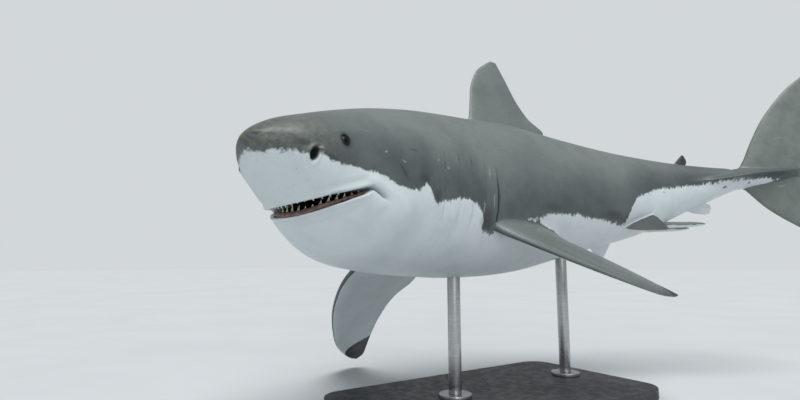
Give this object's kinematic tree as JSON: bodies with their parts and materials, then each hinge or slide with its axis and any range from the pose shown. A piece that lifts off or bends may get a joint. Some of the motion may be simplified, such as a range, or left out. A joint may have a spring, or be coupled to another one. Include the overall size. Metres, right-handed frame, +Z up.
{
  "type": "great white shark display model",
  "caption": "Life-size still model of a great white shark swimming in a left-hand curve, mouth slightly open, held over a flat base by two short rods.",
  "frame": {"origin": "centre of the stand base's underside, on the floor", "axes": "+Z up, +Y from the head towards the tail, +X to the animal's left"},
  "size_m": [2.8955, 3.3242, 2.0914],
  "materials": {
    "skin": "wet satin skin, slate grey above and white below with a ragged border",
    "mouth_flesh": "moist, dark red inside the mouth, pinkish brown on the gums",
    "teeth": "glossy ivory enamel",
    "eye": "wet, nearly black",
    "stand_paint": "board painted in satin dark grey",
    "stand_steel": "brushed"
  },
  "bodies": {
    "root": {"head": "skin", "lower_jaw": "skin", "mouth_lining": "mouth_flesh", "upper_gum_and_teeth": "teeth", "lower_gum_and_teeth": "teeth", "gill_region": "skin", "trunk_front": "skin", "trunk_rear": "skin", "tail_stem": "skin", "caudal_fin": "skin", "first_dorsal_fin": "skin", "second_dorsal_fin": "skin", "anal_fin": "skin", "pectoral_fin_left": "skin", "pectoral_fin_right": "skin", "pelvic_fin_left": "skin", "pelvic_fin_right": "skin", "clasper_left": "skin", "clasper_right": "skin", "eye_left": "eye", "eye_right": "eye", "stand_base": "stand_paint", "stand_collar_front": "stand_steel", "stand_collar_rear": "stand_steel", "stand_rod_front": "stand_steel", "stand_rod_rear": "stand_steel"}
  },
  "joints": []
}
